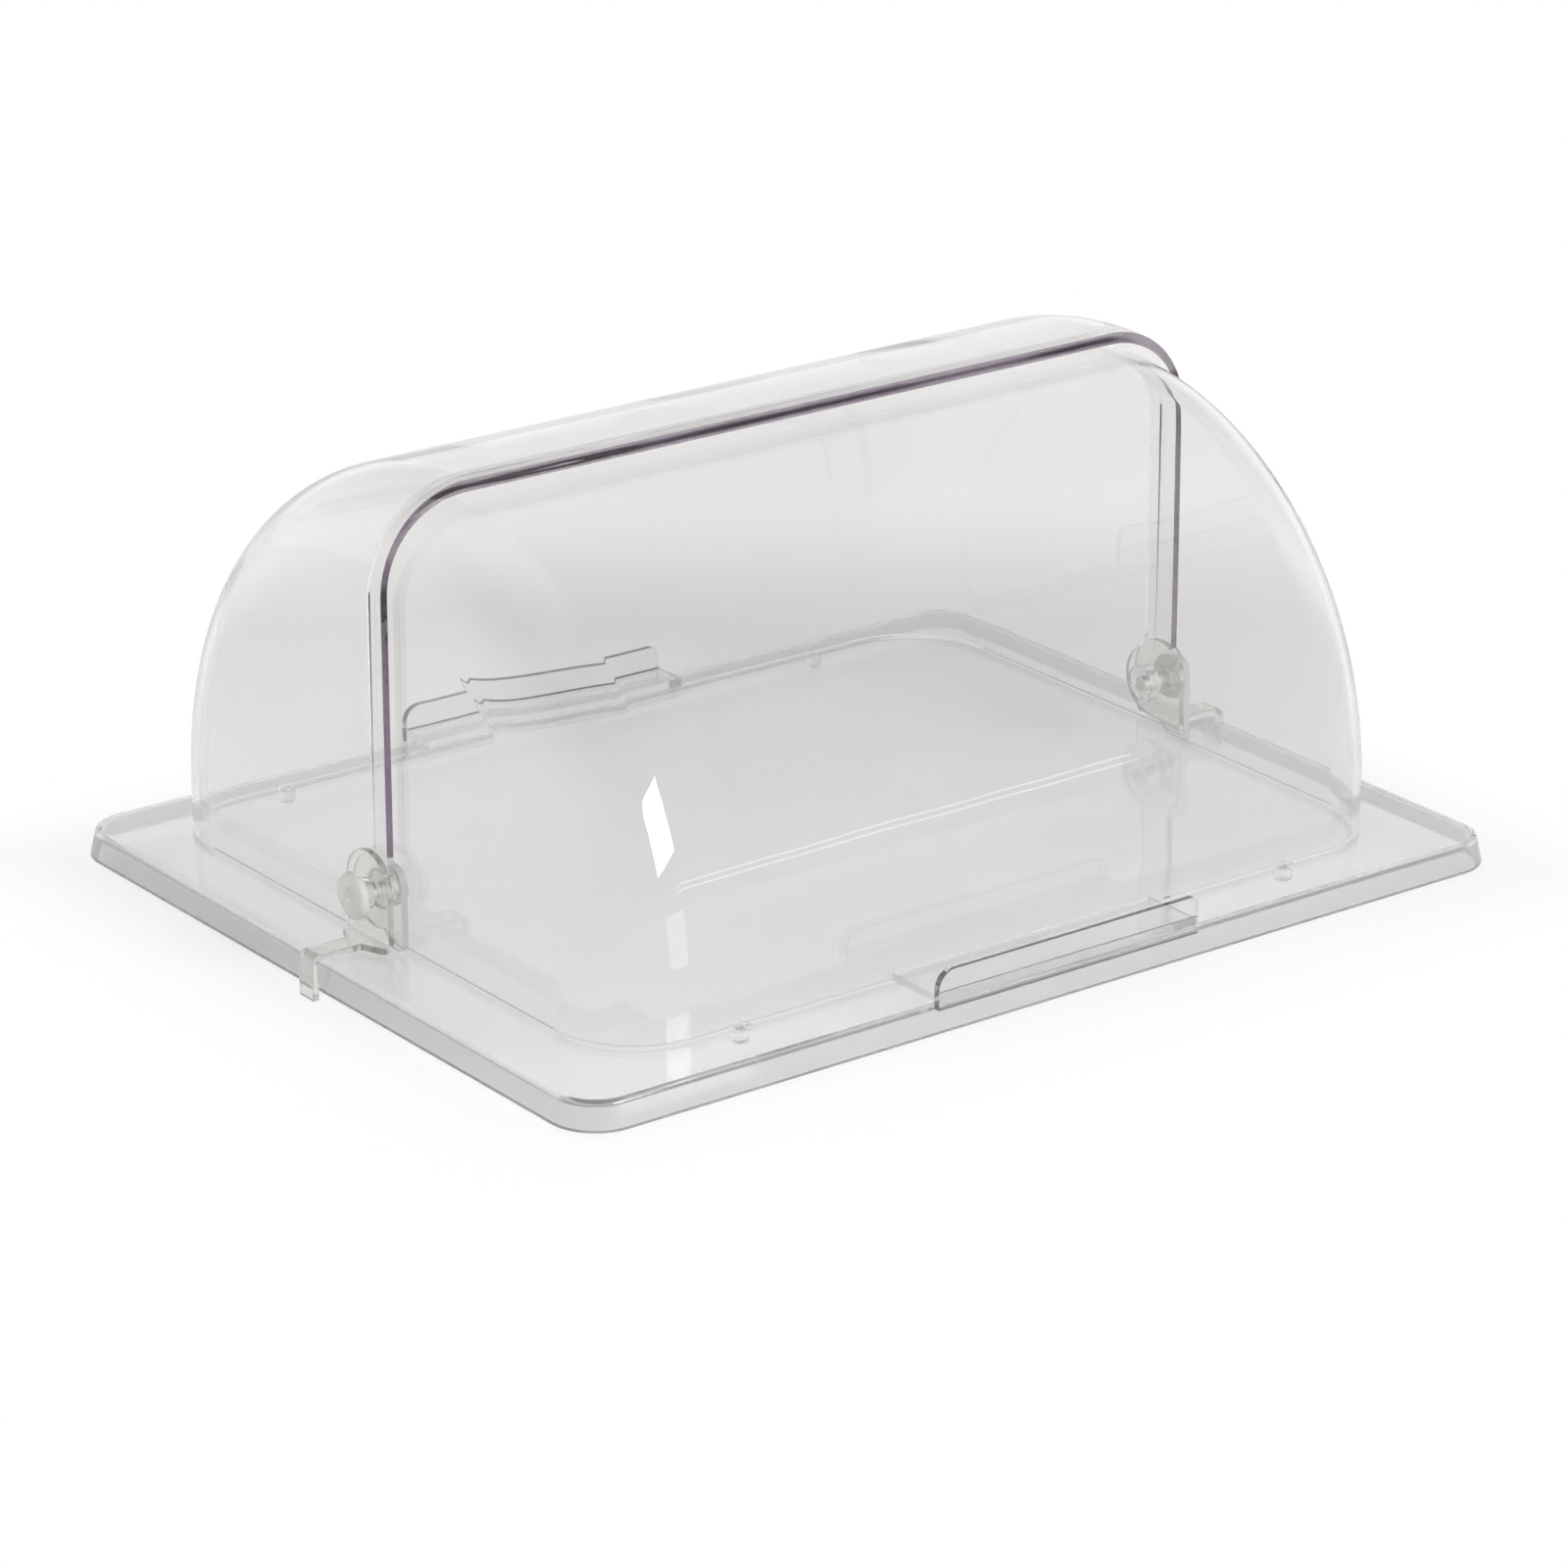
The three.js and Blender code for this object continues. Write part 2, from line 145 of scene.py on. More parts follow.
def piece(cad_node, bm, body, material, bevel=0.0, angle=50, shares=None):
    """A finished piece from a bmesh in millimetres, which stands for one CAD node.

    bevel rounds each edge that turns by more than angle, and shares gives some of them only a share of it.
    """
    bmesh.ops.scale(bm, vec=(MM, MM, MM), verts=bm.verts)
    bmesh.ops.recalc_face_normals(bm, faces=bm.faces)
    if bevel:
        weight = bm.edges.layers.float.new("bevel_weight_edge")
        for e in bm.edges:
            if e.is_manifold and e.calc_face_angle() > radians(angle):
                e[weight] = (shares or {}).get(e, 1.0)
    obj = new_object(f"fine_{cad_node}", bm, material)
    for f in obj.data.polygons:
        f.use_smooth = True
    if bevel:
        rounding = obj.modifiers.new("edge_round", "BEVEL")
        rounding.width = bevel * MM
        rounding.segments = 3
        rounding.limit_method = "WEIGHT"
        rounding.miter_outer = "MITER_ARC"
    else:
        obj.data.set_sharp_from_angle(angle=radians(SHARP_TURN))
    shading = obj.modifiers.new("even_shading", "WEIGHTED_NORMAL")
    shading.mode = "FACE_AREA"
    shading.weight = 100
    shading.keep_sharp = True
    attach(obj, body)
    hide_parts(cad_node)


def ring(bm, points):
    return [bm.verts.new(p) for p in points]


def bridge(bm, a, b, closed=True):
    """Faces between two lines with as many vertices each, in the lines' order."""
    n = len(a)
    return [bm.faces.new((a[i], a[(i + 1) % n], b[(i + 1) % n], b[i])) for i in range(n if closed else n - 1)]


def loft(bm, loops, closed=True):
    """Faces between each line of vertices and the next."""
    return [face for a, b in zip(loops, loops[1:]) for face in bridge(bm, a, b, closed)]


def arc(cx, cy, r, start, end, n):
    """n + 1 points round a centre, between two angles in degrees."""
    angles = [radians(start + (end - start) * i / n) for i in range(n + 1)]
    return [(cx + r * cos(a), cy + r * sin(a)) for a in angles]


def smoothstep(t):
    return t * t * (3 - 2 * t)


def in_steps(points, longest):
    """A line's points without its two ends, and with more between them where a step is too long."""
    line = []
    for (y0, z0), (y1, z1) in zip(points, points[1:]):
        n = max(1, ceil(sqrt((y1 - y0) ** 2 + (z1 - z0) ** 2) / longest))
        line += [(y0 + (y1 - y0) * i / n, z0 + (z1 - z0) * i / n) for i in range(n)]
    return line[1:]


def towards_pin(bm, outline, distance):
    """A loop inside an outline, each vertex straight towards the pin from the outline's own. distance tells
    how far from the pin it lies, given how far the outline's own does."""
    points = []
    for v in outline:
        y, z = v.co.y, v.co.z - HINGE
        d = sqrt(y * y + z * z)
        points.append((v.co.x, y / d * distance(d), HINGE + z / d * distance(d)))
    return ring(bm, points)


def fill_with_holes(bm, outer, holes):
    """Flat faces between a closed loop of vertices and the loops of its holes."""
    edges = []
    for loop in [outer, *holes]:
        for a, b in zip(loop, loop[1:] + loop[:1]):
            edges.append(bm.edges.get((a, b)) or bm.edges.new((a, b)))
    bmesh.ops.triangle_fill(bm, use_beauty=True, use_dissolve=False, edges=edges)


# Lids: an arch that is rounded into two flat ends, each with an ear round its pin hole

def shell_rows(bm, shell, corner, bead=0.0):
    """A lid's face as lines of vertices from the open edge to the foot, one for each place along its length.

    corner is this face's radius at the ends' corners, and bead how far the open edge is thickened inwards.
    """
    core, middle = shell.radius - shell.fillet, shell.half - shell.fillet
    left = arc(-middle, core, corner, 180, 90, END_STEPS)
    right = arc(middle, core, corner, 90, 0, END_STEPS)
    between = []
    for i in range(1, MIDDLE_STEPS):
        t = i / MIDDLE_STEPS
        between.append((left[-1][0] * (1 - t) + right[0][0] * t, core + corner))
    profile = left + between + right
    rows = []
    for i, (x, r) in enumerate(profile):
        row = []
        if bead:
            thick = bead * smoothstep(min(1.0, i / END_STEPS, (len(profile) - 1 - i) / END_STEPS))
            for along, share in BEAD:
                thin = r - thick * share
                a = acos(shell.cut / thin) - along / r
                row.append((thin * cos(a), thin * sin(a)))
        turn = acos(shell.cut / r)
        for k in range(BEAD_ROWS if bead else 0, ARCH_STEPS + 1):
            a = turn * (1 - k / ARCH_STEPS)
            row.append((r * cos(a), r * sin(a)))
        row += [(r, (FOOT - HINGE) * k / FOOT_STEPS) for k in range(1, FOOT_STEPS + 1)]
        rows.append(ring(bm, [(x, shell.side * y, HINGE + z) for y, z in row]))
    return rows


def flat_end(bm, shell, row, x, ear_line):
    """A flat end from its outline to its pin hole. Gives the vertices round the ear and those of the hole."""
    ear_edge = ring(bm, [(x, shell.side * y, HINGE + z) for y, z in ear_line])
    outline = row + ear_edge
    band = towards_pin(bm, outline, lambda d: d - BAND)
    hole = towards_pin(bm, outline, lambda d: BORE)
    bridge(bm, outline, band)
    bridge(bm, band, hole)
    return ear_edge, hole


def lid(cad_node, body, shell, ear, bead=0.0):
    """ear is the line round the ear, and bead how far the open edge is thickened inwards."""
    bm = bmesh.new()
    outer = shell_rows(bm, shell, shell.fillet)
    inner = shell_rows(bm, shell, shell.fillet - WALL, bead)
    loft(bm, outer, closed=False)
    loft(bm, inner, closed=False)
    core = shell.radius - shell.fillet
    ear_line = in_steps([(core, FOOT - HINGE), *ear, (shell.cut, sqrt(core ** 2 - shell.cut ** 2))], EAR_STEP)
    rims, holes, grey_shaded = [], [], set()
    for rows, x in ((outer, shell.half), (inner, shell.half - WALL)):
        left_ear, left_hole = flat_end(bm, shell, rows[0], -x, ear_line)
        right_ear, right_hole = flat_end(bm, shell, rows[-1], x, ear_line)
        foot = [row[-1] for row in rows]
        rims.append([row[0] for row in rows] + right_ear[::-1] + foot[::-1] + left_ear)
        holes.append((left_hole, right_hole))
        grey_shaded.update(v for v in left_ear + right_ear if v.co.z < HINGE + EAR_TOP)
    for outside, inside in zip(*holes):
        bridge(bm, outside, inside)
    # the cut round the ears is painted a grey shade and lets no light through
    painted_cut = bm.faces.layers.float.new("painted_cut")
    rim, inner_rim = rims
    for face, a, b in zip(bridge(bm, rim, inner_rim), rim, rim[1:] + rim[:1]):
        if a in grey_shaded and b in grey_shaded:
            face[painted_cut] = GREY_CUT
    # the open edge is rounded outside and nearly sharp inside
    shares = {bm.edges.get((a[0], b[0])): INNER_SHARE for a, b in zip(inner, inner[1:])}
    piece(cad_node, bm, body, SHEET, bevel=LID_ROUND, shares=shares)


def rear_ear():
    """A square ear, round at its corners and where it runs up into the open edge."""
    reach, top = 23.0, 17.0
    foot_round, top_round, inner_round = 4.0, 8.0, 2.5
    return [*arc(foot_round - reach, FOOT - HINGE + foot_round, foot_round, 270, 180, 8),
            *arc(top_round - reach, top - top_round, top_round, 180, 90, 12),
            *arc(REAR.cut - inner_round, top + inner_round, inner_round, 270, 360, 6)]


def front_ear():
    """A disc round the pin, with a slant from the foot line to where it is joined."""
    radius, slant_start, slant_end = 18.0, 14.0, 6.0
    joined = degrees(asin(slant_end / radius)) - 90
    top = -degrees(acos(-FRONT.cut / radius)) - 180
    return [(slant_start, FOOT - HINGE), *arc(0, 0, radius, joined, top, 48)]


# Tray: a flat deck, a rounded edge and a flared skirt

def flare(z):
    """How far the skirt stands out past the deck's outline at a height."""
    return SKIRT_FLARE * (TRAY_TOP - z) / (TRAY_TOP - SKIRT_FOOT)


def tray_loop(bm, offset, z):
    """A rounded rectangle, that much outside the deck's outline."""
    x, y, r = TRAY_X + offset, TRAY_Y + offset, TRAY_CORNER + offset
    centres = ((x - r, y - r), (r - x, y - r), (r - x, r - y), (x - r, r - y))
    points = []
    for quarter, (cx, cy) in enumerate(centres):
        points += arc(cx, cy, r, 90 * quarter, 90 * (quarter + 1), 16)
    return ring(bm, [(u, v, z) for u, v in points])


def tray_loops(bm, shoulder, corner, wall, steps):
    """Two lots of loops: up the skirt to its shoulder, and on from there over the edge to the flat face."""
    skirt = [tray_loop(bm, flare(z) - wall, z) for z in (SKIRT_FOOT, SKIRT_FOOT + BAND)]
    over = []
    for u, v in arc(-corner, 0, corner, 0, 90, steps):
        over.append(tray_loop(bm, u + flare(shoulder + v) - wall, shoulder + v))
    over.append(tray_loop(bm, -corner - wall - BAND, shoulder + corner))
    return [*skirt, over[0]], over


def tray():
    bm = bmesh.new()
    ceiling, inner_round = TRAY_TOP - TRAY_WALL, 1.6
    skirt, edge = tray_loops(bm, TRAY_TOP - TRAY_ROUND, TRAY_ROUND, 0.0, 8)
    inner_skirt, inner_edge = tray_loops(bm, ceiling - inner_round, inner_round, TRAY_WALL, 6)
    # the outside of the skirt is marked for a painted grey shade
    shaded_skirt = bm.faces.layers.float.new("shaded_skirt")
    for face in loft(bm, skirt):
        face[shaded_skirt] = 1.0
    for loops in (edge, inner_skirt, inner_edge):
        loft(bm, loops)
    bridge(bm, skirt[0], inner_skirt[0])
    tops, bottoms = [], []
    for x, y in BUMPERS:
        circle = arc(x, y, BUMPER_HOLE, 0, 360, 24)[:-1]
        tops.append(ring(bm, [(u, v, TRAY_TOP) for u, v in circle]))
        bottoms.append(ring(bm, [(u, v, ceiling) for u, v in circle]))
        bridge(bm, tops[-1], bottoms[-1])
    fill_with_holes(bm, edge[-1], tops)
    fill_with_holes(bm, inner_edge[-1], bottoms)
    piece("tray", bm, "base", TRAY_SHEET, bevel=TRAY_EDGE, angle=60)


# Handles: a web off the lid's lower edge and an upright plate with rounded top corners

def handle(cad_node, body, shell):
    bm = bmesh.new()
    near, back, web_top = shell.radius + HANDLE_GAP, HANDLE_FACE - HANDLE_WALL, FOOT + HANDLE_WALL
    left, right, inner_round, steps = LEFT_ROUND - HANDLE_HALF, HANDLE_HALF - RIGHT_ROUND, 1.4, 12
    # the plate's top edge, as x and height
    top_edge = arc(left, HANDLE_TOP - LEFT_ROUND, LEFT_ROUND, 180, 90, steps)
    for i in range(1, steps):
        t = i / steps
        top_edge.append((left * (1 - t) + right * t, HANDLE_TOP))
    top_edge += arc(right, HANDLE_TOP - RIGHT_ROUND, RIGHT_ROUND, 90, 0, 8)
    loops = []
    for x, top in top_edge:
        section = [(near, FOOT), (back, FOOT), (back, HANDLE_FOOT), (HANDLE_FACE, HANDLE_FOOT),
                   (HANDLE_FACE, top), (back, top)]
        section += arc(back - inner_round, web_top + inner_round, inner_round, 360, 270, 4)
        section.append((near, web_top))
        loops.append(ring(bm, [(x, shell.side * y, z) for y, z in section]))
    # places in the section: where web and plate meet below and above, and the two corners of the plate's foot
    meet_below, meet_above, foot_back, foot_front = 1, 6, 2, 3
    loft(bm, loops)
    # cut faces with painted tones: the web's two ends get pale painted light and the plate's foot dark
    # painted shade
    painted_cut = bm.faces.layers.float.new("painted_cut")
    for loop in (loops[0], loops[-1]):
        bm.faces.new(loop[meet_below:meet_above + 1])
        bm.faces.new([*loop[:meet_below + 1], *loop[meet_above:]])[painted_cut] = PALE_CUT
    for a, b in zip(loops, loops[1:]):
        bm.faces.get((a[foot_back], a[foot_front], b[foot_front], b[foot_back]))[painted_cut] = DARK_CUT
    piece(cad_node, bm, body, SHEET, bevel=HANDLE_ROUND, angle=35)


# Brackets: a round-topped tongue beside the lids, an arm out over the tray and a hook over its skirt

def bracket_path():
    """Down the bend, out along the arm and down the hook, as (inner point, outer point, half width), with
    points as x and z. The inner face is the one towards the lid and the tray."""
    wall, bed = BRACKET_WALL, TRAY_TOP + ARM_GAP
    elbow, start, inside = BRACKET_IN + BEND, bed + BEND, BEND - wall
    hook_in, hook_out = HOOK_IN, HOOK_IN + wall
    path = []
    for i in range(BEND_STEPS + 1):
        a = radians(180 + 90 * i / BEND_STEPS)
        path.append(((elbow + BEND * cos(a), start + BEND * sin(a)),
                     (elbow + inside * cos(a), start + inside * sin(a)), TONGUE_HALF))
    for i in range(1, BEND_STEPS + 1):
        t = i / BEND_STEPS
        x = elbow + NARROWING * t
        path.append(((x, bed), (x, bed + wall), TONGUE_HALF + (ARM_HALF - TONGUE_HALF) * smoothstep(t)))
    path.append(((ARM_ROW, bed), (ARM_ROW, bed + wall), ARM_HALF))
    for i in range(BEND_STEPS + 1):
        a = radians(90 - 90 * i / BEND_STEPS)
        path.append(((hook_in - inside + inside * cos(a), bed - inside + inside * sin(a)),
                     (hook_out - BEND + BEND * cos(a), bed + wall - BEND + BEND * sin(a)), ARM_HALF))
    for z in (HOOK_ROW, 0.0):
        path.append(((hook_in, z), (hook_out, z), ARM_HALF))
    return path


def bracket(cad_node, body, sign):
    bm = bmesh.new()
    # the tongue's straight sides run from start to the middle of its round top
    start, middle = TRAY_TOP + ARM_GAP + BEND, HINGE + TONGUE_RISE
    rise = (middle - start) / LEG_STEPS
    tongue = [(-TONGUE_HALF, start + rise * i) for i in range(1, LEG_STEPS)]
    tongue += arc(0, middle, TONGUE_HALF, 180, 0, 32)
    tongue += [(TONGUE_HALF, middle - rise * i) for i in range(1, LEG_STEPS)]
    inner, outer, half_widths = zip(*bracket_path())
    holes, rims = [], []
    for points, x in ((inner, BRACKET_IN), (outer, BRACKET_IN + BRACKET_WALL)):
        rows = []
        for (u, z), half in zip(points, half_widths):
            rows.append(ring(bm, [(sign * u, half - 2 * half * i / ACROSS, z) for i in range(ACROSS + 1)]))
        loft(bm, rows, closed=False)
        top = ring(bm, [(sign * x, y, z) for y, z in tongue])
        hole = towards_pin(bm, rows[0] + top, lambda d: BORE)
        bridge(bm, rows[0] + top, hole)
        holes.append(hole)
        far_side = [row[-1] for row in rows]
        rims.append(top + [row[0] for row in rows] + rows[-1][1:-1] + far_side[::-1])
    bridge(bm, *holes)
    bridge(bm, *rims)
    piece(cad_node, bm, body, BRACKET_SHEET, bevel=BRACKET_ROUND)


# Turned pieces

def turned(cad_node, body, material, profile, place, steps=64):
    """profile: (along, radius) pairs, where a radius of 0 is a point on the axis. place turns a distance
    along the axis and two across it into x, y and z."""
    bm = bmesh.new()
    rows = []
    for along, r in profile:
        angles = [2 * pi * k / steps for k in range(steps)] if r else [0.0]
        rows.append(ring(bm, [place(along, r * cos(a), r * sin(a)) for a in angles]))
    for a, b in zip(rows, rows[1:]):
        if len(a) == len(b):
            bridge(bm, a, b)
            continue
        tip, loop = (a[0], b) if len(a) == 1 else (b[0], a)
        for k in range(steps):
            bm.faces.new((tip, loop[k], loop[(k + 1) % steps]))
    if len(rows[0]) > 1:
        bridge(bm, rows[-1], rows[0])
    piece(cad_node, bm, body, material)


def pin_profile():
    tip, r, under, head = PIN_TIP, PIN_RADIUS, HEAD_UNDER, HEAD_RADIUS
    tip_round, neck_round, head_round, land, flank = 0.5, 0.4, 0.9, 1.0, 1.7
    points = [(tip, 0), (tip, r - tip_round), (tip + tip_round, r), (under - neck_round, r),
              (under, r + neck_round), (under, head - land)]
    for degree in (22, 45, 68, 90):
        a = radians(degree)
        points.append((under + head_round - head_round * cos(a), head - head_round + head_round * sin(a)))
    points.append((under + flank, head))
    # crowned face, falling to a dimple in the middle
    base, crown, fullness, dimple, steps = under + 1.8, 3.2, 2.3, 2.4, 14
    for i in range(1, steps + 1):
        across = head - (head - dimple) * i / steps
        share = (across - dimple) / (head - dimple)
        points.append((base + crown * sqrt(max(0.0, 1 - share ** fullness)), across))
    top = base + crown
    return points + [(top - 0.12, 1.9), (top - 0.5, 1.5), (top - 0.75, 0.9), (top - 0.8, 0)]


def nut_profile():
    inner, outer, r, rounding, chamfer, cap = NUT_INNER, NUT_OUTER, NUT_RADIUS, 1.2, 0.3, 1.4
    points = [(inner, 0), (inner, r - rounding)]
    for degree in (30, 60, 90):
        a = radians(degree)
        points.append((inner + rounding - rounding * cos(a), r - rounding + rounding * sin(a)))
    return points + [(outer - chamfer, r), (outer, r - chamfer), (outer, BORE), (inner + cap, BORE),
                     (inner + cap, 0)]


def spacer_profile():
    inner, outer, r, chamfer = SPACER_INNER, SPACER_OUTER, SPACER_RADIUS, 0.3
    return [(inner, BORE), (inner, r - chamfer), (inner + chamfer, r), (outer - chamfer, r),
            (outer, r - chamfer), (outer, BORE)]


def bumper_profile():
    over, under, length, height = TRAY_TOP + BUMPER_GAP, TRAY_TOP - TRAY_WALL - BUMPER_GAP, 6.0, 1.05
    end, top = under - length, over + height
    return [(end, 0), (end, 3.2), (end + 0.35, 3.85), (end + 1.2, BUMPER_BARB), (under, BUMPER_BARB),
            (under, BUMPER_NECK), (over, BUMPER_NECK), (over, BUMPER_HEAD), (over + 0.6, BUMPER_HEAD),
            (over + 0.95, 4.7), (top, 4.2), (top, 0)]


# Node making

def new_material(name):
    m = bpy.data.materials.new(name)
    m.use_nodes = True
    m.node_tree.nodes.clear()
    return m, m.node_tree


def node(t, kind, **values):
    """A node. in_ marks an input, by name or number, and two underscores are a space in its name. An input
    takes a value or another node's output."""
    n = t.nodes.new(kind)
    for key, value in values.items():
        if not key.startswith("in_"):
            setattr(n, key, value)
            continue
        key = key[3:].replace("__", " ")
        socket = n.inputs[int(key) if key.isdigit() else key]
        if isinstance(value, bpy.types.NodeSocket):
            t.links.new(value, socket)
        else:
            socket.default_value = value
    return n


def calc(t, operation, *terms):
    """The output of one calculation. Each term is a number or another node's output."""
    terms = {f"in_{i}": term for i, term in enumerate(terms)}
    return node(t, "ShaderNodeMath", operation=operation, **terms).outputs[0]


def remap(t, source, low, high, to_low=0.0, to_high=1.0, kind="LINEAR"):
    """The output that goes from to_low to to_high while source goes from low to high."""
    return node(t, "ShaderNodeMapRange", interpolation_type=kind, in_0=source, in_1=low, in_2=high,
                in_3=to_low, in_4=to_high).outputs[0]


def colour_ramp(t, source, stops, kind="LINEAR"):
    """A ramp's colour output. stops: (place, colour) pairs, from left to right."""
    n = node(t, "ShaderNodeValToRGB", in_Fac=source)
    n.color_ramp.interpolation = kind
    elements = n.color_ramp.elements
    while len(elements) < len(stops):
        elements.new(0.5)
    for element, (place, colour) in zip(elements, stops):
        element.position, element.color = place, colour
    return n.outputs["Color"]


# Materials

def painted_cut_look(t, base):
    """Base colour and transmission of clear plastic whose faces marked as cut get tones of painted shade and
    light and let no light through.
    """
    mark = node(t, "ShaderNodeAttribute", attribute_name="painted_cut").outputs["Fac"]
    starts = [0.0] + [tone_mark - MARK_STEP for tone_mark in (DARK_CUT, GREY_CUT, PALE_CUT)]
    colour = colour_ramp(t, mark, list(zip(starts, (base, *PAINTED_CUT_TONES))), "CONSTANT")
    return colour, calc(t, "LESS_THAN", mark, MARK_STEP)


def shaded_skirt_look(t, base, shaded_skirt):
    """Base colour and transmission of clear plastic whose marked faces get a painted grey shade and let a
    little less light through.
    """
    mark = node(t, "ShaderNodeAttribute", attribute_name="shaded_skirt").outputs["Fac"]
    return colour_ramp(t, mark, [(0.0, base), (1.0, shaded_skirt)]), remap(t, mark, 0.0, 1.0, 1.0, SHADED_SKIRT_CLEAR)


def clear_plastic(name, haze, depth, tint, density, wave, scale=1.0, ior=1.57, base=WHITE, painted_cut=False,
                  shaded_skirt=None):
    """Clear moulded sheet: a wavy, faintly handled surface that lets lamps through, tinted along its depth.

    haze is its least roughness and depth what handling adds. wave is the height of its waves in metres, and
    scale makes marks and waves finer. The next to last argument gives the faces marked as cut their tones of
    painted shade and light, and the last is the colour of a painted grey shade for the faces marked for it.
    """
    m, t = new_material(name)
    place = node(t, "ShaderNodeTexCoord").outputs["Object"]
    # handling marks: patches where the gloss is a little less
    marks = node(t, "ShaderNodeTexNoise", in_Vector=place, in_Scale=14.0 * scale, in_Detail=6.0,
                 in_Roughness=0.62, in_Distortion=0.6)
    rough = remap(t, marks.outputs["Fac"], 0.42, 0.78, haze, haze + depth)
    # slow waves of the moulding
    waves = node(t, "ShaderNodeTexNoise", in_Vector=place, in_Scale=9.0 * scale, in_Detail=1.5,
                 in_Roughness=0.4)
    bump = node(t, "ShaderNodeBump", in_Strength=1.0, in_Distance=wave, in_Height=waves.outputs["Fac"])
    colour, clear = base, 1.0
    if painted_cut:
        colour, clear = painted_cut_look(t, base)
    if shaded_skirt:
        colour, clear = shaded_skirt_look(t, base, shaded_skirt)
    shader = node(t, "ShaderNodeBsdfPrincipled", in_Base__Color=colour, in_Roughness=rough, in_IOR=ior,
                  in_Transmission__Weight=clear, in_Normal=bump.outputs["Normal"])
    # lamps shine through every wall
    lit = node(t, "ShaderNodeBsdfTransparent", in_Color=LAMP_CLEAR)
    mix = node(t, "ShaderNodeMixShader", in_Fac=node(t, "ShaderNodeLightPath").outputs["Is Shadow Ray"],
               in_1=shader.outputs[0], in_2=lit.outputs[0])
    inside = node(t, "ShaderNodeVolumeAbsorption", in_Color=tint, in_Density=density)
    node(t, "ShaderNodeOutputMaterial", in_Surface=mix.outputs[0], in_Volume=inside.outputs[0])
    return m


def milky(name):
    """Milky, satin plastic with a little light passing into it."""
    m, t = new_material(name)
    place = node(t, "ShaderNodeTexCoord").outputs["Object"]
    cloud = node(t, "ShaderNodeTexNoise", in_Vector=place, in_Scale=90.0, in_Detail=4.0,
                 in_Roughness=0.6).outputs["Fac"]
    colour = colour_ramp(t, cloud, [(0.3, (0.90, 0.90, 0.87, 1)), (0.7, (0.96, 0.96, 0.94, 1))])
    rough = remap(t, cloud, 0.3, 0.7, 0.24, 0.36)
    grain = node(t, "ShaderNodeTexNoise", in_Vector=place, in_Scale=900.0, in_Detail=3.0)
    bump = node(t, "ShaderNodeBump", in_Strength=0.15, in_Distance=0.0004, in_Height=grain.outputs["Fac"])
    shader = node(t, "ShaderNodeBsdfPrincipled", in_Base__Color=colour, in_Roughness=rough, in_IOR=1.49,
                  in_Transmission__Weight=0.6, in_Normal=bump.outputs["Normal"])
    node(t, "ShaderNodeOutputMaterial", in_Surface=shader.outputs[0])
    return m


# the lids' and handles' cut faces get tones of painted shade and light
SHEET = clear_plastic("clear_sheet", haze=0.0, depth=0.03, tint=(0.50, 0.40, 0.51, 1), density=3.4,
                      wave=0.0008, base=(0.955, 0.955, 0.95, 1), painted_cut=True)
# the outside of the tray's skirt gets a painted grey shade
TRAY_SHEET = clear_plastic("clear_tray", haze=0.04, depth=0.06, tint=(0.62, 0.61, 0.62, 1), density=3.0,
                           wave=0.0012, base=(0.95, 0.95, 0.945, 1), shaded_skirt=(0.52, 0.52, 0.515, 1))
BRACKET_SHEET = clear_plastic("clear_bracket", haze=0.0, depth=0.02, tint=(0.60, 0.58, 0.55, 1), density=16.0,
                              wave=0.0006, scale=3.0, base=(0.95, 0.95, 0.94, 1))
MOULDING = clear_plastic("clear_moulding", haze=0.0, depth=0.04, tint=(0.6, 0.6, 0.58, 1), density=20.0,
                         wave=0.0003, scale=6.0, ior=1.55)
BUMPER_PLASTIC = clear_plastic("clear_bumper", haze=0.22, depth=0.12, tint=(0.9, 0.9, 0.9, 1), density=2.0,
                               wave=0.0003, scale=6.0, ior=1.5)
FROSTED = milky("frosted_plastic")


# The pieces

BUMPERS = [(x, y) for y in (WALL / 2 - FRONT.radius, REAR.radius - WALL / 2) for x in (-BUMPER_X, BUMPER_X)]

tray()
lid("rear_lid", "cover", REAR, rear_ear(), bead=REAR_BEAD)
lid("front_lid", "front", FRONT, front_ear())
handle("front_handle", "front", FRONT)
handle("rear_handle", "cover", REAR)
for sign, word in ((-1, "left"), (1, "right")):
    bracket(f"{word}_bracket", "cover", sign)
    for part, slot, material, profile in (("pin", "frosted_plastic", FROSTED, pin_profile()),
                                          ("nut", "clear_moulding", MOULDING, nut_profile()),
                                          ("spacer", "clear_moulding", MOULDING, spacer_profile())):
        turned(f"{word}_{part}", "cover", material, profile, lambda a, u, v: (sign * a, u, HINGE + v))
for (x, y), word in zip(BUMPERS, ("front_left", "front_right", "rear_left", "rear_right")):
    turned(f"{word}_bumper", "base", BUMPER_PLASTIC, bumper_profile(),
           lambda a, u, v: (x + u, y + v, a), steps=40)


# Stage: a pale floor that runs out to white

def outside_tray(t, place):
    """How far outside the tray's outline a point lies, in metres."""
    size = node(t, "ShaderNodeVectorMath", operation="ABSOLUTE", in_0=place).outputs[0]
    edge = (TRAY_X * MM, TRAY_Y * MM, 0)
    past = node(t, "ShaderNodeVectorMath", operation="SUBTRACT", in_0=size, in_1=edge).outputs[0]
    parts = node(t, "ShaderNodeSeparateXYZ", in_0=past).outputs
    return calc(t, "MAXIMUM", parts["X"], parts["Y"])


